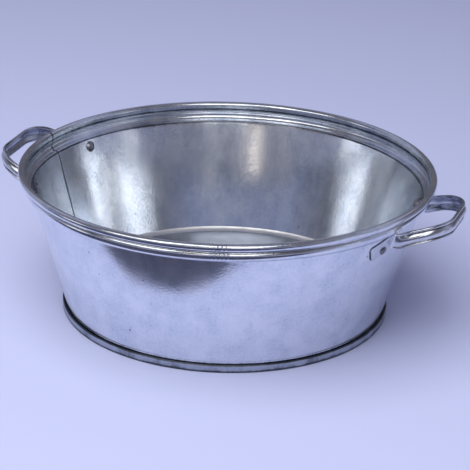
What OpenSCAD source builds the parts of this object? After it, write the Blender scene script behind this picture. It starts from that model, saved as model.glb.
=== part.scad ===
/* [Tub] */
// Diameter over the rolled rim
rim_d = 400; // [360:1:440]
// Height from the resting ring to the top of the rim
tub_h = 142; // [125:1:170]
// Diameter over the folded seam at the foot
foot_d = 318; // [290:1:335]
// Thickness of the galvanized sheet
sheet_t = 0.7; // [0.5:0.05:0.8]

/* [Rim] */
// Diameter of the wire inside the rolled rim
wire_d = 5.5; // [4:0.5:6.5]
// Free play around the wire inside the roll
wire_gap = 0.05; // [0.03:0.01:0.1]
// How far round the wire the sheet is rolled, in degrees
roll_wrap = 312; // [270:1:314]
// Radius of the swaged bead under the roll, at mid sheet
bead_r = 5; // [4:0.1:5.5]
// How far the bead stands out past the neck of the roll
bead_proud = 1.6; // [1:0.1:2.5]
// Drop from the top of the rim to the middle of the bead
bead_drop = 13.3; // [13:0.1:15]
// Radius of the blends above and below the bead, at mid sheet
bead_blend = 2.2; // [2:0.1:2.6]
// How far the bead steps out past the line of the wall, at mid sheet
bead_step = 4.2; // [3:0.1:5.5]

/* [Foot seam] */
// Height of the double seam that joins the wall to the floor
seam_h = 7.5; // [6.5:0.5:9]
// Gap between the folded layers of the seam
seam_gap = 0.1; // [0.05:0.01:0.15]
// Radius of the lower corners of the seam, at mid sheet
seam_corner = 0.8; // [0.6:0.1:1]
// Height of the floor above the resting ring
floor_rise = 12; // [10:0.5:14]
// Radius of the floor's turned-down edge, at mid sheet
shoulder_r = 2.5; // [1.5:0.1:3]
// Height of the bend where the wall leaves the seam and flares
bend_rise = 2; // [1.5:0.1:3]
// Radius of that bend, at mid sheet
bend_r = 4; // [3:0.5:8]
// Height of the zinc fillet that seals the floor to the wall
fillet_h = 3.5; // [3:0.1:4.5]
// Width of the zinc fillet on the floor, past the floor's turned-down edge
fillet_run = 0.6; // [0.3:0.1:2]
// Gap around the zinc fillet
fillet_gap = 0.05; // [0.03:0.01:0.1]

/* [Side seam] */
// Width of the grooved lock seam that closes the wall
lock_w = 6; // [4:0.5:9]
// How far the lock seam stands out from the sheet
lock_proud = 1.4; // [1:0.1:1.5]
// Place of the lock seam round the wall, in degrees from the right handle
lock_angle = 175.7; // [170:0.1:190]
// Width of the joint line on the inside of the lock seam
lock_line_w = 0.5; // [0.3:0.1:0.8]
// Depth of that joint line
lock_line_t = 0.3; // [0.15:0.05:0.35]

/* [Handles] */
// Thickness of the handle strap
strap_t = 1.2; // [1:0.1:1.5]
// Width of the strap at its flat feet
foot_w = 17.5; // [15:0.5:18.5]
// Width of the strap at the grip
grip_w = 15.5; // [12:0.5:16]
// Radius of the bead rolled along each edge of the grip
edge_r = 1.5; // [1.3:0.1:1.7]
// Height of the grooves beside the edge beads, over the inner face of the grip
groove_h = 1.9; // [1.7:0.1:2.2]
// Height of the rounded back of the grip above those grooves
crown = 2.6; // [1.5:0.1:3.5]
// Room for the fingers between the rim and the face of the grip
finger_gap = 25; // [20:0.5:30]
// Half the distance between the legs where they leave the wall
leg_half = 50.5; // [44:0.5:54]
// Angle by which each leg leans in, in degrees
leg_lean = 10; // [8:1:18]
// Radius of the rounded corners of the grip
corner_r = 30; // [24:1:34]
// Radius of the bend between a foot and its leg
foot_bend_r = 5; // [4:0.5:7]
// Length of each foot past its rivet
foot_tail = 16.5; // [10:0.5:18]
// Radius of the corners of each foot
foot_corner = 3; // [1:0.5:5]
// Angle by which the end of each foot is cut off square, in degrees
foot_skew = 20; // [0:1:25]
// Rise of each foot from its rivet to its bend
foot_rise = 2.6; // [0:0.1:3]
// Length over which the flat foot turns into the rounded grip
form_run = 20; // [16:1:30]
// Lift of the left grip above the start of its legs
left_rise = 17; // [6:0.5:18]
// Lift of the right grip above the start of its legs
right_rise = 11; // [6:0.5:18]
// Distance out from the wall over which the left legs climb
left_run = 42; // [26:1:48]
// Distance out from the wall over which the right legs climb
right_run = 46; // [26:1:48]
// How much higher the back of the left grip stands than its middle
left_tilt = 2.5; // [-4:0.5:4]
// How much higher the back of the right grip stands than its middle
right_tilt = -0.5; // [-4:0.5:4]
// Gap between a strap foot and the wall
seat_gap = 0.1; // [0.05:0.01:0.2]
// Gap between the top edge of a foot, at its bend, and the blend under the bead
under_gap = 0.3; // [0.2:0.1:3]

/* [Rivets] */
// Half the angle between the two rivets of a handle
rivet_half = 20; // [19.5:0.1:21.5]
// Height of the left handle's rivets over the middle of their feet
left_rivet_lift = 4.5; // [-4:0.5:4.5]
// Height of the right handle's rivets over the middle of their feet
right_rivet_lift = -3; // [-4:0.5:4]
// Diameter of the rivet shank
shank_d = 4.5; // [3.5:0.1:5]
// Free play round the shank in its holes
shank_gap = 0.05; // [0.03:0.01:0.1]
// Diameter of the hammered head outside
head_d = 8; // [7:0.1:9]
// Height of the hammered head outside
head_h = 2.2; // [1.5:0.1:3]
// Diameter of the factory head inside
inner_head_d = 11; // [8:0.1:12]
// Height of the factory head inside
inner_head_h = 3.2; // [1.2:0.1:3.5]
// Gap between a rivet head and the sheet under it
head_gap = 0.12; // [0.1:0.01:0.2]

/* [Hidden] */
$fn = 96;

// How far inside the bead's outermost line a leg starts to climb
climb_back = 3;
// Steps in a full turn of a drawn profile
turn_steps = 40;
// Points closer than this are one point
same_point = 0.001;
// Steps across the hollow of the zinc fillet
fillet_steps = 6;
// Steps along each stretch of a strap
tip_steps = 3;
foot_steps = 8;
bend_steps = 7;
leg_steps = 6;
corner_steps = 12;
front_steps = 3;
// Directions round the bead on a strap's edge, from its outer face
edge_outer = [90, 45, 0, -45];
edge_inner = [180, 135];
// Places across the back of a grip, as shares of its half width
back_outer = [1, 0.8, 0.4, 0, -0.4, -0.8, -1];
back_inner = [-0.9, -0.5, 0, 0.5, 0.9];

// Layers of the seam lie one pitch apart; the wall is the second layer from the inside
half_t = sheet_t / 2;
pitch = sheet_t + seam_gap;
outer_layer = 3;
wall_r = foot_d / 2 - outer_layer * pitch - half_t;
chuck_r = wall_r - pitch;
seam_r = wall_r + outer_layer * pitch;
turn_z = sheet_t + seam_gap + pitch + half_t;
seam_top_z = seam_h - half_t - pitch;
bend_z = seam_h + bend_rise;

// The roll, the neck below it and the bead
roll_r = wire_d / 2 + wire_gap + sheet_t;
roll_c = [rim_d / 2 - roll_r, tub_h - roll_r];
curl_r = roll_r - half_t;
neck_r = roll_c[0] - curl_r;
bead_c = [neck_r + bead_proud - bead_r, tub_h - bead_drop];

// The flare of the wall, from its bend at the foot to the middle of the bead
flare = atan((neck_r - bead_step - wall_r) / (bead_c[1] - bend_z));
wall_out = [cos(flare), -sin(flare)];
bend_reach = bend_r * tan(flare / 2);

// Directions from the middle of the bead to the middles of its two blends
blend_reach = bead_r + bead_blend;
bead_off = (bead_c - [wall_r, bend_z]) * wall_out;
low_dir = -flare - acos((bead_blend - bead_off) / blend_reach);
top_dir = acos((neck_r + bead_blend - bead_c[0]) / blend_reach);

// Where the flare ends under the bead, and the heights of a foot at its bend and at its rivet
under_bead_z = at(bead_c, blend_reach, low_dir)[1] + bead_blend * sin(flare);
turn_up_z = under_bead_z - under_gap - foot_w / 2 * cos(flare);
foot_z = turn_up_z - foot_rise;
left_rivet_z = foot_z + left_rivet_lift;
right_rivet_z = foot_z + right_rivet_lift;
reach = rim_d / 2 + finger_gap;

colour_sheet = [0.72, 0.75, 0.82];
colour_floor = [0.66, 0.7, 0.78];
colour_strap = [0.6, 0.62, 0.7];
colour_rivet = [0.5, 0.5, 0.56];
colour_wire = [0.42, 0.43, 0.48];
colour_zinc = [0.84, 0.86, 0.9];

function at(c, r, a) = [c[0] + r * cos(a), c[1] + r * sin(a)];

function steps(a0, a1) = max(2, ceil(abs(a1 - a0) * turn_steps / 360));

function arc(c, r, a0, a1) =
    let (n = steps(a0, a1)) [for (i = [0:n]) at(c, r, a0 + (a1 - a0) * i / n)];

function unit(v) = v / norm(v);

// A path without the points that repeat where one arc runs on from another
function joined(path) =
    [for (i = [0:len(path) - 1]) if (i == 0 || norm(path[i] - path[i - 1]) > same_point) path[i]];

// Left-hand normal of a path at point i, long enough to keep the sheet's thickness in a bend
function side(path, i) =
    let (a = unit(path[max(i, 1)] - path[max(i, 1) - 1]),
        j = min(i, len(path) - 2),
        b = unit(path[j + 1] - path[j]),
        m = unit(a + b))
    [-m[1], m[0]] / (m * a);

function shifted(path, d) = [for (i = [0:len(path) - 1]) path[i] + side(path, i) * d];

function reversed(list) = [for (i = [len(list) - 1:-1:0]) list[i]];

// Outline of a sheet that lies between two distances from a path
function band(path, d0, d1) = concat(shifted(path, d0), reversed(shifted(path, d1)));

function sheet(path) = band(path, -half_t, half_t);

// The flared wall from its bend to the neck under the roll, at mid sheet
function wall_side() = joined(concat(
    arc([wall_r + bend_r, bend_z - bend_reach], bend_r, 180, 180 - flare),
    arc(at(bead_c, blend_reach, low_dir), bead_blend, 180 - flare, 180 + low_dir),
    arc(bead_c, bead_r, low_dir, top_dir),
    arc(at(bead_c, blend_reach, top_dir), bead_blend, 180 + top_dir, 180)));

// The whole wall, from the hook in the foot seam to the end of the roll
function wall_path() = concat(
    [[wall_r + 2 * pitch, seam_top_z]],
    arc([wall_r + pitch, turn_z], pitch, 0, -180),
    wall_side(),
    arc(roll_c, curl_r, 180, 180 - roll_wrap));

// The floor, its turned-down edge and the fold that grips the wall's hook
function floor_path() = concat(
    [[0, floor_rise - half_t]],
    arc([chuck_r - shoulder_r, floor_rise - half_t - shoulder_r], shoulder_r, 90, 0),
    arc([chuck_r + seam_corner, half_t + seam_corner], seam_corner, 180, 270),
    arc([seam_r - seam_corner, half_t + seam_corner], seam_corner, 270, 360),
    arc([seam_r - pitch, seam_top_z], pitch, 0, 180),
    [[wall_r + pitch, turn_z]]);

// Middle line of the wall at a height on its flare
function flare_r(z) = wall_r + (z - bend_z) * tan(flare);

// Reach of the zinc fillet at a height: its gap short of the wall, on the flare or under its bend
function fillet_r(z) =
    max(wall_r - half_t - fillet_gap, flare_r(z) - (half_t + fillet_gap) / cos(flare));

// Zinc drawn into the corner between the floor's edge and the wall
function fillet_outline() =
    let (root = 35,
        sweep = 90 - 2 * flare,
        edge_c = [chuck_r - shoulder_r, floor_rise - half_t - shoulder_r],
        edge = arc(edge_c, shoulder_r + half_t + fillet_gap, root, 90),
        root_z = edge[0][1],
        low = [edge_c[0] - fillet_run, floor_rise + fillet_gap],
        top_z = floor_rise + fillet_h,
        knee_z = bend_z + (half_t + fillet_gap) * tan(flare / 2),
        span = [fillet_r(top_z), top_z] - low)
    concat(
        [for (i = [0:fillet_steps]) let (a = sweep * i / fillet_steps)
            low + [span[0] * sin(a) / sin(sweep), span[1] * (1 - cos(a)) / (1 - cos(sweep))]],
        [if (knee_z > root_z && knee_z < top_z) [fillet_r(knee_z), knee_z]],
        [[fillet_r(root_z), root_z]],
        edge);

// A frame on the wall at an angle and height, with Z pointing straight out of the sheet
module on_wall(angle, z) {
    rotate([0, 0, angle]) translate([flare_r(z), 0, z]) rotate([0, 90 + flare, 0]) children();
}

// Clearance holes through sheet and strap for the two rivets of a handle
module rivet_holes(angle, z) {
    deep = 12;
    for (s = [-1, 1])
        on_wall(angle + s * rivet_half, z)
            translate([0, 0, -deep / 2]) cylinder(h = deep, r = shank_d / 2 + shank_gap, $fn = 48);
}

module wall() {
    lock_span = 2 * asin(lock_w / 2 / rim_d * 2);
    line_span = 2 * asin(lock_line_w / 2 / rim_d * 2);
    color(colour_sheet)
        difference() {
            union() {
                rotate_extrude() polygon(sheet(wall_path()));
                rotate([0, 0, lock_angle - lock_span / 2])
                    rotate_extrude(angle = lock_span)
                        polygon(band(wall_side(), 0, -half_t - lock_proud));
            }
            rotate([0, 0, lock_angle - line_span / 2])
                rotate_extrude(angle = line_span)
                    polygon(band(wall_side(), half_t - lock_line_t, sheet_t));
            rivet_holes(0, right_rivet_z);
            rivet_holes(180, left_rivet_z);
        }
}

module floor_pan() {
    color(colour_floor) rotate_extrude() polygon(sheet(floor_path()));
}

module rim_wire() {
    color(colour_wire)
        rotate_extrude() translate(roll_c) circle(r = wire_d / 2, $fn = 48);
}

module floor_fillet() {
    color(colour_zinc) rotate_extrude() polygon(fillet_outline());
}

// Radius of the strap's inner face where it lies on the wall at a height
function face_r(z) = flare_r(z) + (half_t + seat_gap) / cos(flare);

// Plan of the right handle's front half: the foot on the wall, its bend, the leg and the corner
foot_r = face_r(foot_z);
turn_up_r = face_r(turn_up_z);
leg_dir = [cos(leg_lean), sin(leg_lean)];
leg_out = [sin(leg_lean), -cos(leg_lean)];
leg_start = [sqrt(turn_up_r * turn_up_r - leg_half * leg_half), -leg_half];
turn_line = leg_start + foot_bend_r * leg_out;
turn_along = -turn_line * leg_dir
    + sqrt(pow(turn_line * leg_dir, 2) - turn_line * turn_line + pow(turn_up_r + foot_bend_r, 2));
turn_c = turn_line + turn_along * leg_dir;
turn_a = atan2(turn_c[1], turn_c[0]);
corner_line = leg_start - corner_r * leg_out;
corner_c = corner_line + leg_dir * (reach - corner_r - corner_line[0]) / leg_dir[0];

foot_end_a = -rivet_half - foot_tail / foot_r * 180 / PI;
foot_len = (turn_a - foot_end_a) * PI / 180 * foot_r;
turn_len = (90 + turn_a - leg_lean) * PI / 180 * foot_bend_r;
leg_from = turn_c - foot_bend_r * leg_out;
leg_to = corner_c + corner_r * leg_out;
leg_len = norm(leg_to - leg_from);

// Distance along the strap from the end of the foot to a share of the corner
function corner_d(t) = turn_len + leg_len + corner_r * (90 - leg_lean) * t * PI / 180;

// Where a leg comes out from under the bead and starts to climb
bead_out_r = bead_c[0] + bead_r + half_t;
climb_x = sqrt(pow(bead_out_r - climb_back, 2) - leg_half * leg_half);

function ease(t) = (1 - cos(180 * min(1, max(0, t)))) / 2;

// A station of the strap is its place, its upward direction, how far it is formed, its half width
// and its slant along the strap
function foot_station(s, cut) =
    let (a = foot_end_a + s / foot_r * 180 / PI,
        z = foot_z + foot_rise * (s - foot_tail) / (foot_len - foot_tail))
    [[face_r(z) * cos(a), face_r(z) * sin(a), z],
        [sin(flare) * cos(a), sin(flare) * sin(a), cos(flare)],
        0, foot_w / 2 - cut, -tan(foot_skew) * max(0, 1 - s / foot_tail)];

function loop_station(p, d, climb) =
    let (t = min(1, d / (turn_len + leg_len)),
        lean = flare * (1 - ease(2 * t)),
        up_by = sin(90 * min(1, max(0, (p[0] - climb_x) / climb[1]))))
    [[p[0], p[1], turn_up_z + (climb[0] + climb[2] * p[1] / leg_half) * up_by],
        [sin(lean) * cos(turn_a), sin(lean) * sin(turn_a), cos(lean)],
        ease(d / form_run), (foot_w + (grip_w - foot_w) * t) / 2, 0];

// Half of a strap, from the end of its front foot to just before the middle of the grip
// Its climb is the rise of the grip, the run that it takes and the tilt towards the other end
function strap_half(climb) = concat(
    [for (a = [0:90 / tip_steps:89])
        foot_station(foot_corner * (1 - cos(a)), foot_corner * (1 - sin(a)))],
    [for (i = [0:foot_steps])
        foot_station(foot_corner + (foot_len - foot_corner) * i / foot_steps, 0)],
    [for (i = [1:bend_steps]) let (t = i / bend_steps, a = 180 + turn_a + (leg_lean - 90 - turn_a) * t)
        loop_station(at(turn_c, foot_bend_r, a), turn_len * t, climb)],
    [for (i = [1:leg_steps]) let (t = i / leg_steps)
        loop_station(leg_from + (leg_to - leg_from) * t, turn_len + leg_len * t, climb)],
    [for (i = [1:corner_steps]) let (t = i / corner_steps)
        loop_station(at(corner_c, corner_r, (leg_lean - 90) * (1 - t)), corner_d(t), climb)],
    [for (i = [1:front_steps]) if (i < front_steps)
        loop_station([reach, corner_c[1] * (1 - i / front_steps)], corner_d(1), climb)]);

function mirrored(v) = [v[0], -v[1], v[2]];

function strap_stations(climb) = concat(
    strap_half(climb),
    [loop_station([reach, 0], corner_d(1), climb)],
    [for (s = reversed(strap_half([climb[0], climb[1], -climb[2]])))
        [mirrored(s[0]), mirrored(s[1]), s[2], s[3], -s[4]]]);

// Section of a strap: places across it, with their heights over its inner face, formed and flat
function edge_place(q, half_w, s) =
    [s * (half_w - edge_r + edge_r * sin(q)), edge_r * (1 + cos(q)), strap_t / 2 * (1 + cos(max(q, 0)))];

function back_place(u, half_w, under) =
    [u * (half_w - 2 * edge_r), groove_h - under + crown * (1 - u * u), strap_t - under];

function strap_section(form, half_w) =
    [for (p = concat(
        [for (q = edge_outer) edge_place(q, half_w, 1)],
        [for (u = back_outer) back_place(u, half_w, 0)],
        [for (q = reversed(edge_outer)) edge_place(q, half_w, -1)],
        [for (q = reversed(edge_inner)) edge_place(q, half_w, -1)],
        [for (u = back_inner) back_place(u, half_w, strap_t)],
        [for (q = edge_inner) edge_place(q, half_w, 1)]))
        [p[0], p[1] * form + p[2] * (1 - form)]];

function strap_ring(stations, i) =
    let (last = len(stations) - 1,
        s = stations[i],
        along = unit(stations[min(i + 1, last)][0] - stations[max(i - 1, 0)][0]),
        out = unit(cross(along, s[1])))
    [for (p = strap_section(s[2], s[3]))
        s[0] + s[1] * p[0] + out * p[1] + along * p[0] * s[4]];

// The pressed strap: its section swept along the stations, with both ends closed
module strap(climb) {
    stations = strap_stations(climb);
    rings = [for (i = [0:len(stations) - 1]) strap_ring(stations, i)];
    n = len(rings[0]);
    last = len(rings) - 1;
    polyhedron(
        points = [for (ring = rings) for (p = ring) p],
        faces = concat(
            [[for (j = [0:n - 1]) j]],
            [for (i = [0:last - 1]) for (j = [0:n - 1])
                [i * n + j, (i + 1) * n + j, (i + 1) * n + (j + 1) % n]],
            [for (i = [0:last - 1]) for (j = [0:n - 1])
                [i * n + j, (i + 1) * n + (j + 1) % n, i * n + (j + 1) % n]],
            [[for (j = [n - 1:-1:0]) last * n + j]]),
        convexity = 8);
}

module handle(angle, climb, rivet_z) {
    color(colour_strap)
        difference() {
            rotate([0, 0, angle]) strap(climb);
            rivet_holes(angle, rivet_z);
        }
}

module left_handle() {
    handle(180, [left_rise, left_run, -left_tilt], left_rivet_z);
}

module right_handle() {
    handle(0, [right_rise, right_run, right_tilt], right_rivet_z);
}

// A low dome on the plane z = 0
module dome(d, h) {
    ball_r = (d * d / 4 + h * h) / (2 * h);
    intersection() {
        translate([0, 0, h - ball_r]) sphere(r = ball_r);
        cylinder(h = h + 1, r = d / 2 + 1);
    }
}

// A rivet through wall and strap, with its hammered head outside
module rivet(angle, z) {
    wall_bow = inner_head_d * inner_head_d / 8 / flare_r(z);
    inner_seat = half_t + head_gap + wall_bow;
    outer_seat = half_t + seat_gap + strap_t + head_gap;
    root = 0.4;
    color(colour_rivet)
        on_wall(angle, z) {
            translate([0, 0, -inner_seat - root])
                cylinder(h = inner_seat + outer_seat + 2 * root, r = shank_d / 2, $fn = 48);
            translate([0, 0, outer_seat]) dome(head_d, head_h);
            translate([0, 0, -inner_seat]) mirror([0, 0, 1]) dome(inner_head_d, inner_head_h);
        }
}

module left_front_rivet() {
    rivet(180 + rivet_half, left_rivet_z);
}

module left_back_rivet() {
    rivet(180 - rivet_half, left_rivet_z);
}

module right_front_rivet() {
    rivet(-rivet_half, right_rivet_z);
}

module right_back_rivet() {
    rivet(rivet_half, right_rivet_z);
}

wall();
floor_pan();
rim_wire();
floor_fillet();
left_handle();
right_handle();
left_front_rivet();
left_back_rivet();
right_front_rivet();
right_back_rivet();
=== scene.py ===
"""The looks of a galvanized basin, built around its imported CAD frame."""

import math

import bpy
import numpy as np
from mathutils import Matrix, Vector


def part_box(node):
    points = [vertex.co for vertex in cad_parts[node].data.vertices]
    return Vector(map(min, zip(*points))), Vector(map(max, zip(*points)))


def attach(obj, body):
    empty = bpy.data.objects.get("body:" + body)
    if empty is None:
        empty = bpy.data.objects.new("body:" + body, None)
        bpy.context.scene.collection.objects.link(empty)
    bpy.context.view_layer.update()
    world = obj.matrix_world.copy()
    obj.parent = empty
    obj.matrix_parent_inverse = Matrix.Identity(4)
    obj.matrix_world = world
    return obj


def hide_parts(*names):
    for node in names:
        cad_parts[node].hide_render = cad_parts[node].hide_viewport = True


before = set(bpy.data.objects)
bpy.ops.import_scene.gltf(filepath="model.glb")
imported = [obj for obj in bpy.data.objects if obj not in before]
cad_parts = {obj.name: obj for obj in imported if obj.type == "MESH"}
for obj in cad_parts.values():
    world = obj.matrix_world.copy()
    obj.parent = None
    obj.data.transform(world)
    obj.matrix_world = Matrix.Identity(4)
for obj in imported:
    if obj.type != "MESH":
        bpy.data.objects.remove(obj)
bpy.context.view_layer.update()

# Lengths are in millimetres and angles in degrees; meshes are scaled to metres when they are made
MM = 0.001


def sin(a):
    return math.sin(math.radians(a))


def cos(a):
    return math.cos(math.radians(a))


def tan(a):
    return math.tan(math.radians(a))


# Camera: where the photograph was taken from
PHOTO_SIDE_PX = 470
FOCAL_PX = 1764.2
SENSOR = 36.0
VIEW_AZIMUTH = 19.7
VIEW_ELEVATION = 22.295
VIEW_ROLL = 1.608
VIEW_DISTANCE = 1715.8
VIEW_RIGHT = 8.4
VIEW_HEIGHT = 70.2


def make_camera():
    back = Vector((sin(VIEW_AZIMUTH) * cos(VIEW_ELEVATION),
                   -cos(VIEW_AZIMUTH) * cos(VIEW_ELEVATION),
                   sin(VIEW_ELEVATION)))
    right = Vector((cos(VIEW_AZIMUTH), sin(VIEW_AZIMUTH), 0))
    up = back.cross(right)
    rolled_right = cos(VIEW_ROLL) * right + sin(VIEW_ROLL) * up
    rolled_up = cos(VIEW_ROLL) * up - sin(VIEW_ROLL) * right
    place = right * VIEW_RIGHT + Vector((0, 0, VIEW_HEIGHT)) + back * VIEW_DISTANCE
    camera = bpy.data.objects.new("camera", bpy.data.cameras.new("camera"))
    camera.data.sensor_width = SENSOR
    camera.data.lens = SENSOR * FOCAL_PX / PHOTO_SIDE_PX
    axes = Matrix((rolled_right, rolled_up, back)).transposed()
    camera.matrix_world = Matrix.Translation(place * MM) @ axes.to_4x4()
    bpy.context.scene.collection.objects.link(camera)
    bpy.context.scene.camera = camera


make_camera()


# Sizes of the tub, as in the CAD
def top_of(node):
    return [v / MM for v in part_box(node)[1]]


RIM_R = top_of("wall")[0]
TUB_H = top_of("wall")[2]
SEAM_R = top_of("floor_pan")[0]
SHEET = 0.7
WIRE_D = 5.5
WIRE_GAP = 0.05
ROLL_WRAP = 312
BEAD_R = 5
BEAD_PROUD = 1.6
BEAD_DROP = 13.3
BEAD_BLEND = 2.2
BEAD_STEP = 4.2
SEAM_H = 7.5
SEAM_GAP = 0.1
SEAM_CORNER = 0.8
FLOOR_RISE = 12
SHOULDER_R = 2.5
BEND_RISE = 2
BEND_R = 4
FILLET_H = 3.5
FILLET_RUN = 0.6
FILLET_GAP = 0.05
LOCK_W = 6
LOCK_PROUD = 1.4
LOCK_ANGLE = 175.7

HALF = SHEET / 2
PITCH = SHEET + SEAM_GAP
WALL_R = SEAM_R - 3 * PITCH - HALF
CHUCK_R = WALL_R - PITCH
FOLD_R = WALL_R + 3 * PITCH
TURN_Z = SHEET + SEAM_GAP + PITCH + HALF
SEAM_TOP_Z = SEAM_H - HALF - PITCH
BEND_Z = SEAM_H + BEND_RISE
ROLL_R = WIRE_D / 2 + WIRE_GAP + SHEET
ROLL_C = np.array((RIM_R - ROLL_R, TUB_H - ROLL_R))
CURL_R = ROLL_R - HALF
NECK_R = ROLL_C[0] - CURL_R
BEAD_C = np.array((NECK_R + BEAD_PROUD - BEAD_R, TUB_H - BEAD_DROP))
FLARE = math.degrees(math.atan((NECK_R - BEAD_STEP - WALL_R) / (BEAD_C[1] - BEND_Z)))
BLEND_REACH = BEAD_R + BEAD_BLEND
BEAD_OFF = (BEAD_C[0] - WALL_R) * cos(FLARE) - (BEAD_C[1] - BEND_Z) * sin(FLARE)
LOW_DIR = -FLARE - math.degrees(math.acos((BEAD_BLEND - BEAD_OFF) / BLEND_REACH))
TOP_DIR = math.degrees(math.acos((NECK_R + BEAD_BLEND - BEAD_C[0]) / BLEND_REACH))

# Sizes of the handles and rivets, as in the CAD
STRAP = 1.2
FOOT_W = 17.5
GRIP_W = 15.5
EDGE_R = 1.5
GROOVE_H = 1.9
CROWN = 2.6
LEG_HALF = 50.5
LEG_LEAN = 10
CORNER_R = 30
FOOT_BEND_R = 5
FOOT_TAIL = 16.5
FOOT_CORNER = 3
FOOT_SKEW = 20
FOOT_RISE = 2.6
FORM_RUN = 20
SEAT_GAP = 0.1
UNDER_GAP = 0.3
CLIMB_BACK = 3
RIVET_HALF = 20
SHANK_D = 4.5
HEAD_D = 8
HEAD_H = 2.2
INNER_HEAD_D = 11
INNER_HEAD_H = 3.2
HEAD_GAP = 0.12
# Rise, run and tilt of each grip, as seen from its own side of the tub
CLIMBS = {"left": (17, 42, -2.5), "right": (11, 46, -0.5)}
RIVET_LIFTS = {"left": 4.5, "right": -3}
# Angle of each handle round the tub
TURNS = {"left": 180, "right": 0}


def at(c, r, a):
    return np.array((c[0] + r * cos(a), c[1] + r * sin(a)))


UNDER_BEAD_Z = at(BEAD_C, BLEND_REACH, LOW_DIR)[1] + BEAD_BLEND * sin(FLARE)
TURN_UP_Z = UNDER_BEAD_Z - UNDER_GAP - FOOT_W / 2 * cos(FLARE)
FOOT_Z = TURN_UP_Z - FOOT_RISE
REACH = top_of("right_handle")[0] - GROOVE_H - CROWN


def flare_r(z):
    return WALL_R + (z - BEND_Z) * tan(FLARE)


def face_r(z):
    return flare_r(z) + (HALF + SEAT_GAP) / cos(FLARE)


# Profiles
ARC_STEP = 6
SAME_POINT = 0.001


def arc(c, r, a0, a1, step=ARC_STEP):
    n = max(2, math.ceil(abs(a1 - a0) / step))
    return [at(c, r, a0 + (a1 - a0) * i / n) for i in range(n + 1)]


def line(p, q, n):
    return [np.array(p) + (np.array(q) - np.array(p)) * i / n for i in range(n + 1)]


def joined(points):
    kept = [points[0]]
    for p in points[1:]:
        if np.linalg.norm(p - kept[-1]) > SAME_POINT:
            kept.append(p)
    return np.array(kept)


def normals(path):
    """Left-hand normals of an open path, long enough to keep the sheet's thickness in a bend."""
    step = np.diff(path, axis=0)
    step /= np.linalg.norm(step, axis=1)[:, None]
    before = np.vstack([step[:1], step])
    after = np.vstack([step, step[-1:]])
    mean = before + after
    mean /= np.linalg.norm(mean, axis=1)[:, None]
    side = np.stack([-mean[:, 1], mean[:, 0]], 1)
    return side / (mean * before).sum(1)[:, None]


def smooth(t):
    t = np.clip(t, 0, 1)
    return t * t * (3 - 2 * t)


# Meshes
SHARP_ANGLE = 35


def make_object(name, points, faces):
    mesh = bpy.data.meshes.new(name)
    mesh.from_pydata((np.asarray(points, float) * MM).tolist(), [], faces)
    mesh.validate()
    mesh.update()
    mesh.polygons.foreach_set("use_smooth", [True] * len(mesh.polygons))
    mesh.set_sharp_from_angle(angle=math.radians(SHARP_ANGLE))
    piece = bpy.data.objects.new(name, mesh)
    bpy.context.scene.collection.objects.link(piece)
    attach(piece, "root")
    return piece


def grid_faces(rows, columns, flip=False):
    """Quads of a grid that closes on itself both ways."""
    i = np.arange(rows)[:, None] * columns
    j = np.arange(columns)[None, :]
    i2 = (np.roll(np.arange(rows), -1) * columns)[:, None]
    j2 = np.roll(np.arange(columns), -1)[None, :]
    quads = np.stack([i + j, i + j2, i2 + j2, i2 + j], -1).reshape(-1, 4)
    if flip:
        quads = quads[:, ::-1]
    return quads.tolist()


def capped_faces(rows, columns, flip=False):
    """Faces of a turned outline that ends near the axis both ways, with a flat face over each end."""
    quads = [f for f in grid_faces(rows, columns, flip)
             if not {f[0] % columns, f[1] % columns, f[2] % columns} >= {0, columns - 1}]
    first = [i * columns for i in reversed(range(rows))]
    last = [i * columns + columns - 1 for i in range(rows)]
    if flip:
        first.reverse()
        last.reverse()
    return quads + [first, last]


def around(angles, profiles):
    """Points of a profile turned about the tub's axis; profiles may change from angle to angle."""
    a = np.radians(angles)[:, None]
    r, z = profiles[..., 0], profiles[..., 1]
    return np.stack([r * np.cos(a), r * np.sin(a), z + 0 * a], -1)


def away_from(angles, middle):
    """Angles measured from a middle one, between -180 and 180."""
    return (angles - middle + 180) % 360 - 180


def ring_angles(count, fine_zones=()):
    """Even angles round the tub, with a finer step inside each zone (middle, half width, step)."""
    angles = np.arange(count) * 360 / count
    for middle, half, step in fine_zones:
        fine = (np.arange(-half, half + step / 2, step) + middle) % 360
        angles = np.concatenate([angles[np.abs(away_from(angles, middle)) > half + step / 2], fine])
    return np.sort(angles)


def swells(angles, heights, seed, count, least, most, size):
    """Uneven swells of rolled sheet: many low waves round the tub that lean a little as they rise."""
    rng = np.random.default_rng(seed)
    a = np.radians(angles)
    total = 0
    for _ in range(count):
        times = rng.integers(least, most)
        lean = rng.normal() * SWELL_LEAN
        phase = rng.uniform(0, 2 * math.pi)
        total = total + size / math.sqrt(count) * np.sin(times * a + lean * heights + phase)
    return total


# Wall
WALL_TURNS = 600
SIDE_STEPS = 40
HOOK_STEP = 12
LOCK_FINE = 1.6
LOCK_FINE_STEP = 0.05
LOCK_ROUND = 0.8
LAP_H = 0.3
LAP_W = 1.8
LAP_START = 0.2
LAP_EDGE = 0.3
GROOVE_DEEP = 0.3
GROOVE_W = 0.35
SWELL_LEAN = 0.02
SWELL_SEED = 5
SWELL_COUNT = 24
SWELL_LEAST = 3
SWELL_MOST = 34
SWELL_SIZE = 0.09
# The swells grow above the foot seam and fade under the bead, at the handles' feet and at the lock seam
SWELL_LOW = 2
SWELL_LOW_FADE = 12
SWELL_TOP = 1
SWELL_TOP_FADE = 10
FOOT_CLEAR = 12
FOOT_CLEAR_FADE = 8
FOOT_CLEAR_DROP = 24
FOOT_DROP_FADE = 10
LOCK_CLEAR = 3
LOCK_CLEAR_FADE = 2
# Marks of the tool where the rolled rim's ends meet, in front
RIPPLE_ANGLE = -71.5
RIPPLE_HALF = 2.8
RIPPLE_FADE = 0.8
RIPPLE_PITCH = 3.6
RIPPLE_SIZE = 0.2
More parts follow.
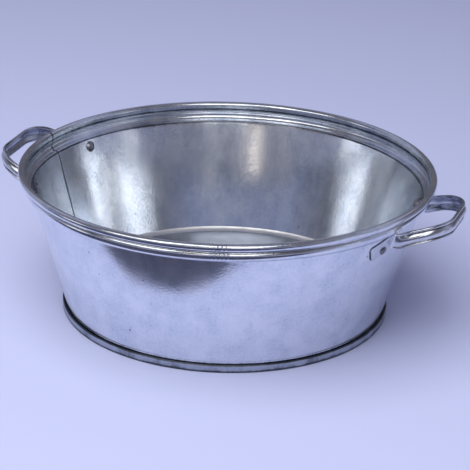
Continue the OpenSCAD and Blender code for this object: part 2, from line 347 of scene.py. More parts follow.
# Finer marks that the rolling wheel left along the front of the rim
FACET_ANGLE = -45
FACET_HALF = 38
FACET_FADE = 10
FACET_PITCH = 5.2
FACET_SIZE = 0.035
FINE_STEP = 0.12
# How many points before the roll the bead's marks start, and over how many the marks grow
BEAD_MARKS_LEAD = 30
BEAD_MARKS_FADE = 8
ROLL_MARKS_FADE = 4
SIDE_FADE = 2


def wall_side():
    """Mid sheet of the flared wall, from its bend at the foot to the neck under the roll."""
    bend = arc((WALL_R + BEND_R, BEND_Z - BEND_R * tan(FLARE / 2)), BEND_R, 180, 180 - FLARE)
    low = arc(at(BEAD_C, BLEND_REACH, LOW_DIR), BEAD_BLEND, 180 - FLARE, 180 + LOW_DIR)
    bead = arc(BEAD_C, BEAD_R, LOW_DIR, TOP_DIR)
    top = arc(at(BEAD_C, BLEND_REACH, TOP_DIR), BEAD_BLEND, 180 + TOP_DIR, 180)
    return joined(bend + line(bend[-1], low[0], SIDE_STEPS) + low + bead + top)


def wall_parts():
    hook = [np.array((WALL_R + 2 * PITCH, SEAM_TOP_Z))]
    hook += arc((WALL_R + PITCH, TURN_Z), PITCH, 0, -180, HOOK_STEP)
    side = wall_side()
    roll = arc(ROLL_C, CURL_R, 180, 180 - ROLL_WRAP)
    path = joined(hook + list(side) + roll)
    starts = np.argmin(np.linalg.norm(path - side[0], axis=1))
    ends = np.argmin(np.linalg.norm(path - side[-1], axis=1))
    return path, starts, ends


def wall_swells(angles, path):
    """Swells of the flared sheet, which fade out at the foot, at the bead and under the handles."""
    heights = path[None, :, 1]
    over_foot = smooth((heights - BEND_Z - SWELL_LOW) / SWELL_LOW_FADE)
    under_bead = smooth((UNDER_BEAD_Z - SWELL_TOP - heights) / SWELL_TOP_FADE)
    from_handle = 90 - np.abs(np.abs(away_from(angles, 0)) - 90)
    by_handle = smooth((RIVET_HALF + FOOT_CLEAR - from_handle) / FOOT_CLEAR_FADE)[:, None]
    by_handle = by_handle * smooth((heights - FOOT_Z + FOOT_CLEAR_DROP) / FOOT_DROP_FADE)
    by_lock = smooth((LOCK_CLEAR - np.abs(away_from(angles, LOCK_ANGLE))) / LOCK_CLEAR_FADE)[:, None]
    free = over_foot * under_bead * (1 - by_handle) * (1 - by_lock)
    waves = swells(angles[:, None], heights, SWELL_SEED, SWELL_COUNT, SWELL_LEAST, SWELL_MOST, SWELL_SIZE)
    return free * waves


def rim_marks(angles, place, ends):
    """The tool's marks on the rolled rim and, where its ends meet, on the bead under it."""
    on_roll = smooth((place - ends) / ROLL_MARKS_FADE)[None, :]
    on_bead = smooth((place - ends + BEAD_MARKS_LEAD) / BEAD_MARKS_FADE)[None, :]
    from_joint = away_from(angles, RIPPLE_ANGLE)[:, None]
    from_facets = away_from(angles, FACET_ANGLE)[:, None]
    run = np.radians(from_joint) * RIM_R
    ripple_zone = smooth((RIPPLE_HALF - np.abs(from_joint)) / RIPPLE_FADE)
    facet_zone = smooth((FACET_HALF - np.abs(from_facets)) / FACET_FADE)
    ripple = ripple_zone * np.sin(2 * math.pi * run / RIPPLE_PITCH)
    facet = facet_zone * np.sin(2 * math.pi * run / FACET_PITCH)
    return RIPPLE_SIZE * ripple * on_bead + FACET_SIZE * facet * on_roll, on_roll


def make_wall():
    path, starts, ends = wall_parts()
    out = normals(path)
    angles = ring_angles(WALL_TURNS, ((LOCK_ANGLE, LOCK_FINE, LOCK_FINE_STEP),
                                      (RIPPLE_ANGLE, RIPPLE_HALF, FINE_STEP)))
    place = np.arange(len(path))
    on_side = smooth((place - starts) / SIDE_FADE) * smooth((ends - place) / SIDE_FADE)
    from_lock = np.radians(away_from(angles, LOCK_ANGLE))[:, None] * path[None, :, 0]
    band = smooth((LOCK_W / 2 - np.abs(from_lock)) / LOCK_ROUND + 0.5)
    # The joint line inside: a narrow groove with a lifted lap beside it
    groove = np.exp(-(from_lock / GROOVE_W) ** 2)
    lap = smooth((from_lock + LAP_START) / LAP_EDGE) * smooth((LAP_W - from_lock) / (LAP_W - LAP_START))
    marks, on_roll = rim_marks(angles, place, ends)
    swell = wall_swells(angles, path)
    outer_add = LOCK_PROUD * band * on_side - swell - marks * (1 - on_roll)
    inner_add = (LAP_H * lap - GROOVE_DEEP * groove) * on_side + swell + marks
    outer = path[None] - out[None] * (HALF + outer_add)[..., None]
    inner = path[None] + out[None] * (HALF + inner_add)[..., None]
    grid = around(angles, np.concatenate([outer, inner[:, ::-1]], axis=1))
    rows, columns = grid.shape[:2]
    return make_object("wall_sheet", grid.reshape(-1, 3), grid_faces(rows, columns))


# Floor pan
FLOOR_TURNS = 360
FLOOR_RINGS = 26
FLOOR_EYE = 1.0
FLOOR_SWELL = 0.16
FLOOR_FLAT = 4
FLOOR_FADE = 20
FLOOR_WAVE_X = 41
FLOOR_WAVE_Y = 53
FLOOR_WAVE_XY = 37
CORNER_STEP = 15


def floor_path():
    top_z = FLOOR_RISE - HALF
    flat = line((FLOOR_EYE, top_z), (CHUCK_R - SHOULDER_R, top_z), FLOOR_RINGS)
    shoulder = arc((CHUCK_R - SHOULDER_R, top_z - SHOULDER_R), SHOULDER_R, 90, 0)
    inner_corner = arc((CHUCK_R + SEAM_CORNER, HALF + SEAM_CORNER), SEAM_CORNER, 180, 270, CORNER_STEP)
    outer_corner = arc((FOLD_R - SEAM_CORNER, HALF + SEAM_CORNER), SEAM_CORNER, 270, 360, CORNER_STEP)
    fold = arc((FOLD_R - PITCH, SEAM_TOP_Z), PITCH, 0, 180, CORNER_STEP)
    fold_end = np.array((WALL_R + PITCH, TURN_Z))
    return joined(flat + shoulder + inner_corner + outer_corner + fold + [fold_end])


def make_floor_pan():
    path = floor_path()
    out = normals(path)
    outline = np.concatenate([path + out * HALF, (path - out * HALF)[::-1]])
    angles = ring_angles(FLOOR_TURNS)
    grid = around(angles, np.broadcast_to(outline, (len(angles), *outline.shape)))
    x, y = grid[..., 0], grid[..., 1]
    inside = CHUCK_R - SHOULDER_R
    spread = np.hypot(x, y)
    fade = smooth((inside - FLOOR_FLAT - spread) / FLOOR_FADE) * (grid[..., 2] > FLOOR_RISE - 2 * SHEET)
    dish = np.cos(spread / inside * 2 * math.pi) + np.sin((x - y) / FLOOR_WAVE_XY)
    dish += np.sin(x / FLOOR_WAVE_X + 1) * np.cos(y / FLOOR_WAVE_Y)
    grid[..., 2] += FLOOR_SWELL * fade * dish
    faces = capped_faces(*grid.shape[:2], flip=True)
    return make_object("floor_sheet", grid.reshape(-1, 3), faces)


# Zinc fillet
FILLET_ROOT = 35
FILLET_STEPS = 10
FILLET_TURNS = 540
FILLET_SEED = 3
FILLET_UNEVEN = 0.18
FILLET_COUNT = 16
FILLET_LEAST = 8
FILLET_MOST = 90


def fillet_r(z):
    under = (HALF + FILLET_GAP) / cos(FLARE)
    return max(WALL_R - HALF - FILLET_GAP, flare_r(z) - under)


def make_fillet():
    edge_c = (CHUCK_R - SHOULDER_R, FLOOR_RISE - HALF - SHOULDER_R)
    edge = arc(edge_c, SHOULDER_R + HALF + FILLET_GAP, FILLET_ROOT, 90)
    low = np.array((edge_c[0] - FILLET_RUN, FLOOR_RISE + FILLET_GAP))
    top_z = FLOOR_RISE + FILLET_H
    knee_z = BEND_Z + (HALF + FILLET_GAP) * tan(FLARE / 2)
    span = np.array((fillet_r(top_z), top_z)) - low
    sweep = 90 - 2 * FLARE
    hollow = [low + span * (sin(sweep * t) / sin(sweep), (1 - cos(sweep * t)) / (1 - cos(sweep)))
              for t in np.linspace(0, 1, FILLET_STEPS + 1)]
    behind = [np.array((fillet_r(z), z)) for z in (knee_z, edge[0][1]) if z < top_z]
    outline = joined(hollow + behind + edge)
    angles = ring_angles(FILLET_TURNS)
    profiles = np.repeat(outline[None], len(angles), 0)
    middle = np.sin(np.linspace(0, math.pi, FILLET_STEPS + 1))[None, :]
    waves = swells(angles[:, None], 0, FILLET_SEED, FILLET_COUNT, FILLET_LEAST, FILLET_MOST, FILLET_UNEVEN)
    uneven = waves * middle
    profiles[:, :FILLET_STEPS + 1, 0] -= uneven * sin(45)
    profiles[:, :FILLET_STEPS + 1, 1] += np.abs(uneven) * cos(45)
    grid = around(angles, profiles)
    rows, columns = grid.shape[:2]
    return make_object("fillet_run", grid.reshape(-1, 3), grid_faces(rows, columns, flip=True))


# Straps
FOOT_R = face_r(FOOT_Z)
TURN_UP_R = face_r(TURN_UP_Z)
LEG_DIR = np.array((cos(LEG_LEAN), sin(LEG_LEAN)))
LEG_OUT = np.array((sin(LEG_LEAN), -cos(LEG_LEAN)))
LEG_START = np.array((math.sqrt(TURN_UP_R ** 2 - LEG_HALF ** 2), -LEG_HALF))
TURN_LINE = LEG_START + FOOT_BEND_R * LEG_OUT
TURN_ALONG = -TURN_LINE @ LEG_DIR + math.sqrt(
    (TURN_LINE @ LEG_DIR) ** 2 - TURN_LINE @ TURN_LINE + (TURN_UP_R + FOOT_BEND_R) ** 2)
TURN_C = TURN_LINE + TURN_ALONG * LEG_DIR
TURN_A = math.degrees(math.atan2(TURN_C[1], TURN_C[0]))
CORNER_LINE = LEG_START - CORNER_R * LEG_OUT
CORNER_C = CORNER_LINE + LEG_DIR * (REACH - CORNER_R - CORNER_LINE[0]) / LEG_DIR[0]
FOOT_END_A = -RIVET_HALF - math.degrees(FOOT_TAIL / FOOT_R)
FOOT_LEN = math.radians(TURN_A - FOOT_END_A) * FOOT_R
TURN_LEN = math.radians(90 + TURN_A - LEG_LEAN) * FOOT_BEND_R
LEG_FROM = TURN_C - FOOT_BEND_R * LEG_OUT
LEG_TO = CORNER_C + CORNER_R * LEG_OUT
LEG_LEN = float(np.linalg.norm(LEG_TO - LEG_FROM))
CORNER_LEN = CORNER_R * math.radians(90 - LEG_LEAN)
CLIMB_X = math.sqrt((BEAD_C[0] + BEAD_R + HALF - CLIMB_BACK) ** 2 - LEG_HALF ** 2)
TIP_STEP = 10
FOOT_STEPS = 20
BEND_STEPS = 16
LEG_STEPS = 16
CORNER_STEPS = 32
FRONT_STEPS = 8
BACK_STEPS = 12
# How much of the back's width its inner face takes
INNER_SHARE = 0.92
# The outer face of an edge's bead is turned from 90 degrees to its end, and gets painted shade from its root
# on
EDGE_STEP = 9
BEAD_END_DIR = -45
ROOT_DIR = -36
# Painted shade on the straps, in the grooves, on the inner face and at the ends, kept with their points
SHADE_ATTR = "strap_shade"
EDGE_SHADE = 0.3
GROOVE_SHADE = 0.45
GROOVE_FROM = 0.7
INNER_SHADE = 0.25
TIP_SHADE = 0.6


def ease(t):
    return (1 - cos(180 * min(1, max(0, t)))) / 2


def foot_station(s, cut):
    """Place, upward direction, forming, half width and slant of the strap on the wall."""
    a = FOOT_END_A + math.degrees(s / FOOT_R)
    z = FOOT_Z + FOOT_RISE * (s - FOOT_TAIL) / (FOOT_LEN - FOOT_TAIL)
    place = (face_r(z) * cos(a), face_r(z) * sin(a), z)
    up = (sin(FLARE) * cos(a), sin(FLARE) * sin(a), cos(FLARE))
    return place, up, 0, FOOT_W / 2 - cut, -tan(FOOT_SKEW) * max(0, 1 - s / FOOT_TAIL)


def loop_station(p, d, climb):
    rise, run, tilt = climb
    t = min(1, d / (TURN_LEN + LEG_LEN))
    lean = FLARE * (1 - ease(2 * t))
    up_by = sin(90 * min(1, max(0, (p[0] - CLIMB_X) / run)))
    up = (sin(lean) * cos(TURN_A), sin(lean) * sin(TURN_A), cos(lean))
    z = TURN_UP_Z + (rise + tilt * p[1] / LEG_HALF) * up_by
    return (p[0], p[1], z), up, ease(d / FORM_RUN), (FOOT_W + (GRIP_W - FOOT_W) * t) / 2, 0


def strap_half(climb):
    half = [foot_station(FOOT_CORNER * (1 - cos(a)), FOOT_CORNER * (1 - sin(a)))
            for a in range(0, 90, TIP_STEP)]
    half += [foot_station(s, 0) for s in np.linspace(FOOT_CORNER, FOOT_LEN, FOOT_STEPS + 1)]
    for t in np.linspace(0, 1, BEND_STEPS + 1)[1:]:
        p = at(TURN_C, FOOT_BEND_R, 180 + TURN_A + (LEG_LEAN - 90 - TURN_A) * t)
        half.append(loop_station(p, TURN_LEN * t, climb))
    for t in np.linspace(0, 1, LEG_STEPS + 1)[1:]:
        half.append(loop_station(LEG_FROM + (LEG_TO - LEG_FROM) * t, TURN_LEN + LEG_LEN * t, climb))
    for t in np.linspace(0, 1, CORNER_STEPS + 1)[1:]:
        p = at(CORNER_C, CORNER_R, (LEG_LEAN - 90) * (1 - t))
        half.append(loop_station(p, TURN_LEN + LEG_LEN + CORNER_LEN * t, climb))
    for t in np.linspace(0, 1, FRONT_STEPS + 1)[1:-1]:
        half.append(loop_station((REACH, CORNER_C[1] * (1 - t)), TURN_LEN + LEG_LEN + CORNER_LEN, climb))
    return half


def strap_stations(climb):
    rise, run, tilt = climb
    back = [((p[0], -p[1], p[2]), (u[0], -u[1], u[2]), form, half_w, -slant)
            for p, u, form, half_w, slant in reversed(strap_half((rise, run, -tilt)))]
    middle = loop_station((REACH, 0), TURN_LEN + LEG_LEN + CORNER_LEN, climb)
    return strap_half(climb) + [middle] + back


def edge_place(q, half_w, s):
    """Place across, height formed, height flat and painted shade on the bead along an edge."""
    across = s * (half_w - EDGE_R + EDGE_R * sin(q))
    strap_shade = EDGE_SHADE * (q <= ROOT_DIR or q > 90)
    return across, EDGE_R * (1 + cos(q)), STRAP / 2 * (1 + cos(max(q, 0))), strap_shade


def back_place(u, half_w, under):
    """The same on the rounded back, or on its inner face."""
    strap_shade = INNER_SHADE if under else GROOVE_SHADE * max(0, abs(u) - GROOVE_FROM) / (1 - GROOVE_FROM)
    return u * (half_w - 2 * EDGE_R), GROOVE_H - under + CROWN * (1 - u * u), STRAP - under, strap_shade


def strap_section(form, half_w):
    """Places across the strap, heights over its inner face and painted shade."""
    outer = list(range(90, BEAD_END_DIR - 1, -EDGE_STEP))
    inner = list(range(180, 90, -EDGE_STEP))
    across = np.linspace(1, -1, 2 * BACK_STEPS + 1)
    rows = [edge_place(q, half_w, 1) for q in outer]
    rows += [back_place(u, half_w, 0) for u in across]
    rows += [edge_place(q, half_w, -1) for q in reversed(outer)]
    rows += [edge_place(q, half_w, -1) for q in reversed(inner)]
    rows += [back_place(-INNER_SHARE * u, half_w, STRAP) for u in across]
    rows += [edge_place(q, half_w, 1) for q in inner]
    rows = np.array(rows)
    return np.stack([rows[:, 0], rows[:, 1] * form + rows[:, 2] * (1 - form), rows[:, 3] * form], 1)


def make_strap(side):
    stations = strap_stations(CLIMBS[side])
    places = np.array([s[0] for s in stations])
    last = len(stations) - 1
    rings = []
    strap_shade = []
    for i, (place, up, form, half_w, slant) in enumerate(stations):
        along = places[min(i + 1, last)] - places[max(i - 1, 0)]
        along /= np.linalg.norm(along)
        out = np.cross(along, up)
        out /= np.linalg.norm(out)
        section = strap_section(form, half_w)
        across = np.array(up) + slant * along
        rings.append(np.array(place) + section[:, :1] * across + section[:, 1:2] * out)
        # The strap's ends get painted shade
        at_tip = min(i, last - i) < 1
        strap_shade.append(np.maximum(section[:, 2], TIP_SHADE if at_tip else 0))
    points = np.array(rings)
    rows, columns = points.shape[:2]
    turn = TURNS[side]
    spin = np.array(((cos(turn), sin(turn), 0), (-sin(turn), cos(turn), 0), (0, 0, 1)))
    faces = [f for f in grid_faces(rows, columns, flip=True) if max(f) - min(f) < columns * 2]
    faces += [list(range(columns)), [last * columns + j for j in reversed(range(columns))]]
    strap = make_object(f"{side}_strap", points.reshape(-1, 3) @ spin, faces)
    shade_layer = strap.data.attributes.new(SHADE_ATTR, "FLOAT", "POINT")
    shade_layer.data.foreach_set("value", np.array(strap_shade).ravel())
    return strap


# Rivets
RIVET_TURNS = 48
DOME_STEPS = 12
BLOWS = 9
BLOW_TILT_LEAST = 4
BLOW_TILT = 34
BLOW_DEEP = 0.05
BLOW_SHARE = 0.3


def dome(d, h):
    """Half outline of a low dome, from its edge to its top, as distance from the axis and height."""
    ball_r = (d * d / 4 + h * h) / (2 * h)
    edge_a = math.degrees(math.atan2(ball_r - h, d / 2))
    return [np.array((ball_r * cos(a), h - ball_r + ball_r * sin(a)))
            for a in np.linspace(edge_a, 90, DOME_STEPS + 1)]


def hammered(points, centre, ball_r, seed):
    """Flat places that the hammer left on a ball-shaped head."""
    rng = np.random.default_rng(seed)
    away = points - centre
    for _ in range(BLOWS):
        tilt = rng.uniform(BLOW_TILT_LEAST, BLOW_TILT)
        turn = rng.uniform(0, 360)
        blow = np.array((sin(tilt) * cos(turn), sin(tilt) * sin(turn), cos(tilt)))
        over = away @ blow - ball_r * (1 - BLOW_DEEP * rng.uniform(BLOW_SHARE, 1))
        away -= np.clip(over, 0, None)[:, None] * blow
    return centre + away


def make_rivet(side, end, seed):
    z = FOOT_Z + RIVET_LIFTS[side]
    angle = TURNS[side] + RIVET_HALF * (1 if end == "back" else -1) * (1 if side == "right" else -1)
    bow = INNER_HEAD_D ** 2 / 8 / flare_r(z)
    inner_seat = HALF + HEAD_GAP + bow
    outer_seat = HALF + SEAT_GAP + STRAP + HEAD_GAP
    outer_dome = dome(HEAD_D, HEAD_H)[:-1]
    inner_dome = dome(INNER_HEAD_D, INNER_HEAD_H)[:-1]
    outline = [np.array((r, -inner_seat - h)) for r, h in reversed(inner_dome)]
    outline += [np.array((SHANK_D / 2, -inner_seat)), np.array((SHANK_D / 2, outer_seat))]
    outline += [np.array((r, outer_seat + h)) for r, h in outer_dome]
    outline = np.array(outline)
    angles = ring_angles(RIVET_TURNS)
    points = around(angles, np.broadcast_to(outline, (len(angles), *outline.shape))).reshape(-1, 3)
    head = points[:, 2] > outer_seat
    ball_r = (HEAD_D ** 2 / 4 + HEAD_H ** 2) / (2 * HEAD_H)
    points[head] = hammered(points[head], np.array((0, 0, outer_seat + HEAD_H - ball_r)), ball_r, seed)
    faces = capped_faces(RIVET_TURNS, len(outline))
    # The rivet's own axes: down the wall, round it and straight out of it
    down = np.array((-sin(FLARE), 0, -cos(FLARE)))
    beside = np.array((0, 1, 0))
    straight = np.array((cos(FLARE), 0, -sin(FLARE)))
    standing = np.array((flare_r(z), 0, z)) + points @ np.array((down, beside, straight))
    spin = np.array(((cos(angle), sin(angle), 0), (-sin(angle), cos(angle), 0), (0, 0, 1)))
    return make_object(f"{side}_{end}_head", standing @ spin, faces)


# Materials
STREAK_SCALE = 55
STREAK_STRETCH = 0.06
MOTTLE_SCALE = 60
GRAIN_SCALE = 420
GRAIN_DEEP = 0.0001
SPECK_SCALE = 120
SPECK_ZONES = 0.45
ROUGH_PLAY = 0.035
# How dark the painted shade in creases and the lock seam's dark joint line make the coat
SHADE_AND_JOINT_DARK = 0.8
JOINT_W = 1.9
# Where a single noise and the mixed one have their low and high ends, and the tones that the mixed one gives
NOISE_ENDS = (0.3, 0.7)
MIX_ENDS = (0.38, 0.62)
TONE_ENDS = (0.37, 0.70)
# Where the noise of the zones lets specks appear, and where a speck fades as it gets wider
RARE_ENDS = (0.72, 0.76)
SPECK_ENDS = (0.06, 0.15)
# Tones at which the coat is deep and pale, and how dark the dross specks, the joint line and painted shade
# make it
DEEP_TONE = 0.3
PALE_TONE = 0.68
SPECK_AND_SHADE_SHARE = 0.22
SHEET_PALE = (0.82, 0.85, 0.89)
SHEET_DEEP = (0.63, 0.685, 0.775)
FLOOR_PALE = (0.54, 0.57, 0.64)
FLOOR_DEEP = (0.42, 0.46, 0.54)
STRAP_PALE = (0.72, 0.74, 0.78)
STRAP_DEEP = (0.56, 0.58, 0.64)
RIVET_PALE = (0.38, 0.38, 0.42)
RIVET_DEEP = (0.16, 0.16, 0.19)
SEAL_PALE = (0.93, 0.93, 0.94)
SEAL_DEEP = (0.86, 0.87, 0.88)
WIRE_PALE = (0.42, 0.43, 0.47)
WIRE_DEEP = (0.32, 0.33, 0.37)


def add_node(tree, kind, **values):
    made = tree.nodes.new(kind)
    for name, value in values.items():
        made.inputs[name].default_value = value
    return made


def add_noise(tree, place, scale, detail, stretch=1.0):
    """Noise in the object's own space, drawn out upwards where stretch is under 1."""
    mapping = add_node(tree, "ShaderNodeMapping", Scale=(1, 1, stretch))
    noise = add_node(tree, "ShaderNodeTexNoise", Scale=scale, Detail=detail)
    tree.links.new(place.outputs["Object"], mapping.inputs["Vector"])
    tree.links.new(mapping.outputs["Vector"], noise.inputs["Vector"])
    return noise.outputs["Fac"]


def add_math(tree, operation, first, second):
    made = tree.nodes.new("ShaderNodeMath")
    made.operation = operation
    for socket, value in zip(made.inputs, (first, second)):
        if isinstance(value, (int, float)):
            socket.default_value = value
        else:
            tree.links.new(value, socket)
    return made.outputs[0]


def add_range(tree, value, ends, to_low, to_high):
    """The value between two ends, carried over to another range and held at its limits."""
    made = add_node(tree, "ShaderNodeMapRange", **{
        "From Min": ends[0], "From Max": ends[1], "To Min": to_low, "To Max": to_high})
    tree.links.new(value, made.inputs["Value"])
    return made.outputs["Result"]


def add_ramp(tree, value, *stops):
    ramp = tree.nodes.new("ShaderNodeValToRGB")
    elements = ramp.color_ramp.elements
    while len(elements) < len(stops):
        elements.new(1)
    for element, (place, colour) in zip(elements, stops):
        element.position = place
        element.color = (*colour, 1)
    tree.links.new(value, ramp.inputs["Fac"])
    return ramp.outputs["Color"]


def add_crease_shade(tree, place, bands):
    """Painted shade in creases round the tub, each given by its height, half its width and its amount."""
    split = tree.nodes.new("ShaderNodeSeparateXYZ")
    tree.links.new(place.outputs["Object"], split.inputs["Vector"])
    total = None
    for height, half_w, amount in bands:
        off = add_math(tree, "SUBTRACT", split.outputs["Z"], height * MM)
        near = add_range(tree, add_math(tree, "ABSOLUTE", off, 0), (0, half_w * MM), amount, 0)
        total = near if total is None else add_math(tree, "MAXIMUM", total, near)
    return total


def add_joint(tree, place):
    """The dark joint line of the lock seam, along one side of the tub."""
    turned = add_node(tree, "ShaderNodeMapping", Rotation=(0, 0, math.radians(-LOCK_ANGLE)))
    tree.links.new(place.outputs["Object"], turned.inputs["Vector"])
    split = tree.nodes.new("ShaderNodeSeparateXYZ")
    tree.links.new(turned.outputs["Vector"], split.inputs["Vector"])
    off = add_math(tree, "ABSOLUTE", split.outputs["Y"], 0)
    near = add_range(tree, off, (JOINT_W / 3 * MM, JOINT_W * MM), SHADE_AND_JOINT_DARK, 0)
    return add_math(tree, "MULTIPLY", near, add_math(tree, "GREATER_THAN", split.outputs["X"], 0))


def make_zinc(name, pale, deep, rough, mottle=0.5, streak=0.5, speck=1.0, grain=0.25, crease_shade=(),
              joint=False, shade_layer=False):
    """Zinc coat: pale and deep patches, upward streaks, dross specks and a fine grain; painted shade in
    creases and on the straps, and the dark joint line, where asked.
    """
    made = bpy.data.materials.new(name)
    made.use_nodes = True
    tree = made.node_tree
    shader = tree.nodes["Principled BSDF"]
    shader.inputs["Metallic"].default_value = 1
    place = tree.nodes.new("ShaderNodeTexCoord")
    patches = add_noise(tree, place, MOTTLE_SCALE, 7)
    streaks = add_noise(tree, place, STREAK_SCALE, 3, STREAK_STRETCH)
    fine = add_noise(tree, place, GRAIN_SCALE, 2)
    mix = add_math(tree, "ADD", add_math(tree, "MULTIPLY", patches, mottle),
                   add_math(tree, "MULTIPLY", streaks, streak))
    tone = add_range(tree, add_math(tree, "DIVIDE", mix, mottle + streak), MIX_ENDS, *TONE_ENDS)
    tone = add_math(tree, "ADD", tone, add_range(tree, fine, NOISE_ENDS, -grain / 4, grain / 4))
    specks = add_node(tree, "ShaderNodeTexVoronoi", Scale=SPECK_SCALE)
    tree.links.new(place.outputs["Object"], specks.inputs["Vector"])
    zones = add_range(tree, add_noise(tree, place, SPECK_SCALE * SPECK_ZONES, 0), RARE_ENDS, 0, speck)
    dots = add_range(tree, specks.outputs["Distance"], SPECK_ENDS, 1, 0)
    coat = add_math(tree, "SUBTRACT", tone, add_math(tree, "MULTIPLY", dots, zones))
    if crease_shade:
        # Painted shade in the creases round the tub, by height
        coat = add_math(tree, "SUBTRACT", coat, add_crease_shade(tree, place, crease_shade))
    if joint:
        coat = add_math(tree, "SUBTRACT", coat, add_joint(tree, place))
    if shade_layer:
        # Painted shade of the straps, read from their points
        strap_shade = tree.nodes.new("ShaderNodeAttribute")
        strap_shade.attribute_name = SHADE_ATTR
        coat = add_math(tree, "SUBTRACT", coat, strap_shade.outputs["Fac"])
    # Darkest tone, reached by dross specks, the joint line and painted shade
    speck_and_shade = [v * SPECK_AND_SHADE_SHARE for v in deep]
    colour = add_ramp(tree, coat, (0, speck_and_shade), (DEEP_TONE, deep), (PALE_TONE, pale))
    tree.links.new(colour, shader.inputs["Base Color"])
    dull = add_range(tree, streaks, NOISE_ENDS, rough - ROUGH_PLAY, rough + ROUGH_PLAY)
    tree.links.new(dull, shader.inputs["Roughness"])
    bump = add_node(tree, "ShaderNodeBump", Strength=grain, Distance=GRAIN_DEEP)
    relief = add_math(tree, "ADD", fine, add_math(tree, "MULTIPLY", streaks, streak))
    tree.links.new(relief, bump.inputs["Height"])
    tree.links.new(bump.outputs["Normal"], shader.inputs["Normal"])
    return made


def dress(piece, made):
    piece.data.materials.clear()
    piece.data.materials.append(made)


def dress_all():
    # Painted shade in creases: height, half width and amount of the painted shade
    neck = (ROLL_C[1] - ROLL_R, 1.5, SHADE_AND_JOINT_DARK)
    under_bead = (UNDER_BEAD_Z + 0.6, 1.2, SHADE_AND_JOINT_DARK)
    over_seam = (SEAM_H + 0.5, 1.3, SHADE_AND_JOINT_DARK)
    seam_top = (SEAM_H - 0.2, 1.4, SHADE_AND_JOINT_DARK)
    seam_foot = (0.5, 3.6, SHADE_AND_JOINT_DARK)
    # Painted shade over the whole foot seam, where it mirrors shaded ground
    whole_seam = (SEAM_H / 2, 9, SHADE_AND_JOINT_DARK / 3)
    sheet = make_zinc("zinc_sheet", SHEET_PALE, SHEET_DEEP, rough=0.175, mottle=0.7, grain=0.5,
                      crease_shade=(over_seam, neck, under_bead), joint=True)
    floor = make_zinc("zinc_floor", FLOOR_PALE, FLOOR_DEEP, rough=0.42, streak=0.2,
                      crease_shade=(seam_top, seam_foot, whole_seam))
    strap = make_zinc("zinc_strap", STRAP_PALE, STRAP_DEEP, rough=0.22, streak=0.1, grain=0.35, shade_layer=True)
    rivet = make_zinc("zinc_rivet", RIVET_PALE, RIVET_DEEP, rough=0.34, streak=0.1, grain=0.5)
    seal = make_zinc("zinc_run", SEAL_PALE, SEAL_DEEP, rough=0.45, streak=0.1, speck=0.0)
    wire = make_zinc("drawn_wire", WIRE_PALE, WIRE_DEEP, rough=0.4, speck=0.0)
    pieces = [(make_wall(), "wall", sheet), (make_floor_pan(), "floor_pan", floor),
              (make_fillet(), "floor_fillet", seal)]
    for side in TURNS:
        pieces.append((make_strap(side), f"{side}_handle", strap))
        for seed, end in enumerate(("front", "back")):
            pieces.append((make_rivet(side, end, seed + TURNS[side]), f"{side}_{end}_rivet", rivet))
    for piece, node, made in pieces:
        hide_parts(node)
        dress(piece, made)
    dress(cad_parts["rim_wire"], wire)


dress_all()

# Stage: a pale ground, a dark cloth in front that only the metal mirrors, and the room; in metres
GROUND = (0.52, 0.555, 0.80)
GROUND_REACH = 8.0
CLOTH_HALF = 2.5
CLOTH_END = -3.0
CLOTH_EDGE = -0.237
CLOTH_TURN = -5.5
CLOTH_LIFT = 0.0004
CLOTH_TONE = (0.06, 0.062, 0.10)
ROOM_LIT = (0.335, 0.355, 0.49)
ROOM_DARK = (0.13, 0.125, 0.15)
# Where the room's dark zones begin or end, as parts of the direction that looks at them
FRONT_SIDE = (-0.35, 0.35)
FRONT_LOW = (0.10, 0.25)
CEILING_LOW = (0.74, 0.84)
CEILING_TOP = (0.93, 0.98)
BEHIND_SIDE = (0.42, 0.66)
BEHIND_TOP = (0.48, 0.58)
LEVEL = 0.92
WARM = (1, 0.86, 0.72)


def make_plane(name, x0, x1, y0, y1, z, turn=0):
    corners = [(x * cos(turn) - y * sin(turn), x * sin(turn) + y * cos(turn), z)
               for x, y in ((x0, y0), (x1, y0), (x1, y1), (x0, y1))]
    mesh = bpy.data.meshes.new(name)
    mesh.from_pydata(corners, [], [(0, 1, 2, 3)])
    plane = bpy.data.objects.new(name, mesh)
    bpy.context.scene.collection.objects.link(plane)
    return plane


def make_plain(name, colour, rough):
    made = bpy.data.materials.new(name)
    made.use_nodes = True
    shader = made.node_tree.nodes["Principled BSDF"]
    shader.inputs["Base Color"].default_value = (*colour, 1)
    shader.inputs["Roughness"].default_value = rough
    return made


def make_ground():
    ground = make_plane("stage_floor", -GROUND_REACH, GROUND_REACH, -GROUND_REACH, GROUND_REACH, 0)
    dress(ground, make_plain("pale_paper", GROUND, 0.9))


def make_cloth():
    cloth = make_plane("stage_cloth", -CLOTH_HALF, CLOTH_HALF, CLOTH_END, CLOTH_EDGE, CLOTH_LIFT, CLOTH_TURN)
    made = make_plain("dark_cloth", CLOTH_TONE, 0.95)
    made.node_tree.nodes["Principled BSDF"].inputs["Specular IOR Level"].default_value = 0
    dress(cloth, made)
    cloth.visible_camera = False
    cloth.visible_diffuse = False
    cloth.visible_shadow = False


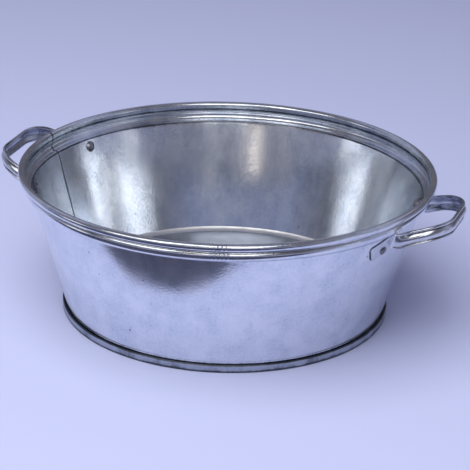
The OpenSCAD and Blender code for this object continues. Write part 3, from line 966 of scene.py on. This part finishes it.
def make_world():
    """A pale room, dark behind, overhead and high in front, that the metal mirrors."""
    world = bpy.data.worlds.new("room")
    bpy.context.scene.world = world
    world.use_nodes = True
    tree = world.node_tree
    tree.nodes.clear()
    place = tree.nodes.new("ShaderNodeTexCoord")
    split = tree.nodes.new("ShaderNodeSeparateXYZ")
    tree.links.new(place.outputs["Generated"], split.inputs["Vector"])
    towards_back = split.outputs["Y"]
    upwards = split.outputs["Z"]
    in_front = add_math(tree, "MULTIPLY", add_range(tree, towards_back, FRONT_SIDE, 1, 0),
                        add_range(tree, upwards, FRONT_LOW, 0, 1))
    ceiling = add_math(tree, "MULTIPLY", add_range(tree, upwards, CEILING_LOW, 0, 1),
                       add_range(tree, upwards, CEILING_TOP, 1, 0))
    behind = add_math(tree, "MULTIPLY", add_range(tree, towards_back, BEHIND_SIDE, 0, 1),
                      add_range(tree, upwards, BEHIND_TOP, 1, 0))
    dark = add_math(tree, "MAXIMUM", in_front, add_math(tree, "MAXIMUM", ceiling, behind))
    tone = add_ramp(tree, dark, (0.0, ROOM_LIT), (1.0, ROOM_DARK))
    room = tree.nodes.new("ShaderNodeBackground")
    tree.links.new(tone, room.inputs["Color"])
    seen = tree.nodes.new("ShaderNodeBackground")
    seen.inputs["Color"].default_value = (*GROUND, 1)
    path = tree.nodes.new("ShaderNodeLightPath")
    mix = tree.nodes.new("ShaderNodeMixShader")
    out = tree.nodes.new("ShaderNodeOutputWorld")
    tree.links.new(path.outputs["Is Camera Ray"], mix.inputs[0])
    tree.links.new(room.outputs[0], mix.inputs[1])
    tree.links.new(seen.outputs[0], mix.inputs[2])
    tree.links.new(mix.outputs[0], out.inputs[0])


def make_lamp(name, azimuth, elevation, distance, size, power, colour=(1, 1, 1), mirrored=True):
    """A lamp that faces the tub's middle, seen from there at an azimuth and an elevation."""
    lamp = bpy.data.lights.new(name, "AREA")
    lamp.shape = "RECTANGLE"
    lamp.size, lamp.size_y = size
    lamp.energy = power * LEVEL
    lamp.color = colour
    away = Vector((cos(elevation) * cos(azimuth), cos(elevation) * sin(azimuth), sin(elevation)))
    holder = bpy.data.objects.new(name, lamp)
    holder.location = away * distance + Vector((0, 0, TUB_H / 2 * MM))
    holder.rotation_euler = away.to_track_quat("Z", "Y").to_euler()
    holder.visible_glossy = mirrored
    bpy.context.scene.collection.objects.link(holder)


def make_lamps():
    """A wide lamp for the ground, and the windows of the room, where the metal mirrors them."""
    make_lamp("overhead", -120, 68, 2.4, (2.4, 2.4), power=60, mirrored=False)
    make_lamp("window_front_left", -118, 34, 2.3, (1.35, 0.8), power=6)
    make_lamp("window_front", -67, 25, 2.3, (1.1, 0.5), power=3.6)
    make_lamp("window_right", -4, 7, 2.2, (0.42, 0.5), power=0.3)
    make_lamp("window_left", -153, 6, 2.2, (0.5, 0.5), power=0.8)
    make_lamp("window_far_right", 25, 4, 2.2, (0.14, 0.3), power=0.13)
    make_lamp("ceiling_lamp", -77, 50, 2.3, (2.2, 0.95), power=14)
    make_lamp("window_low", -107, 19, 2.3, (0.7, 0.3), power=0.15)
    make_lamp("warm_lamp", -87, 13, 2.0, (0.3, 0.12), power=0.22, colour=WARM)


make_ground()
make_cloth()
make_world()
make_lamps()
bpy.context.scene.view_settings.view_transform = "Standard"
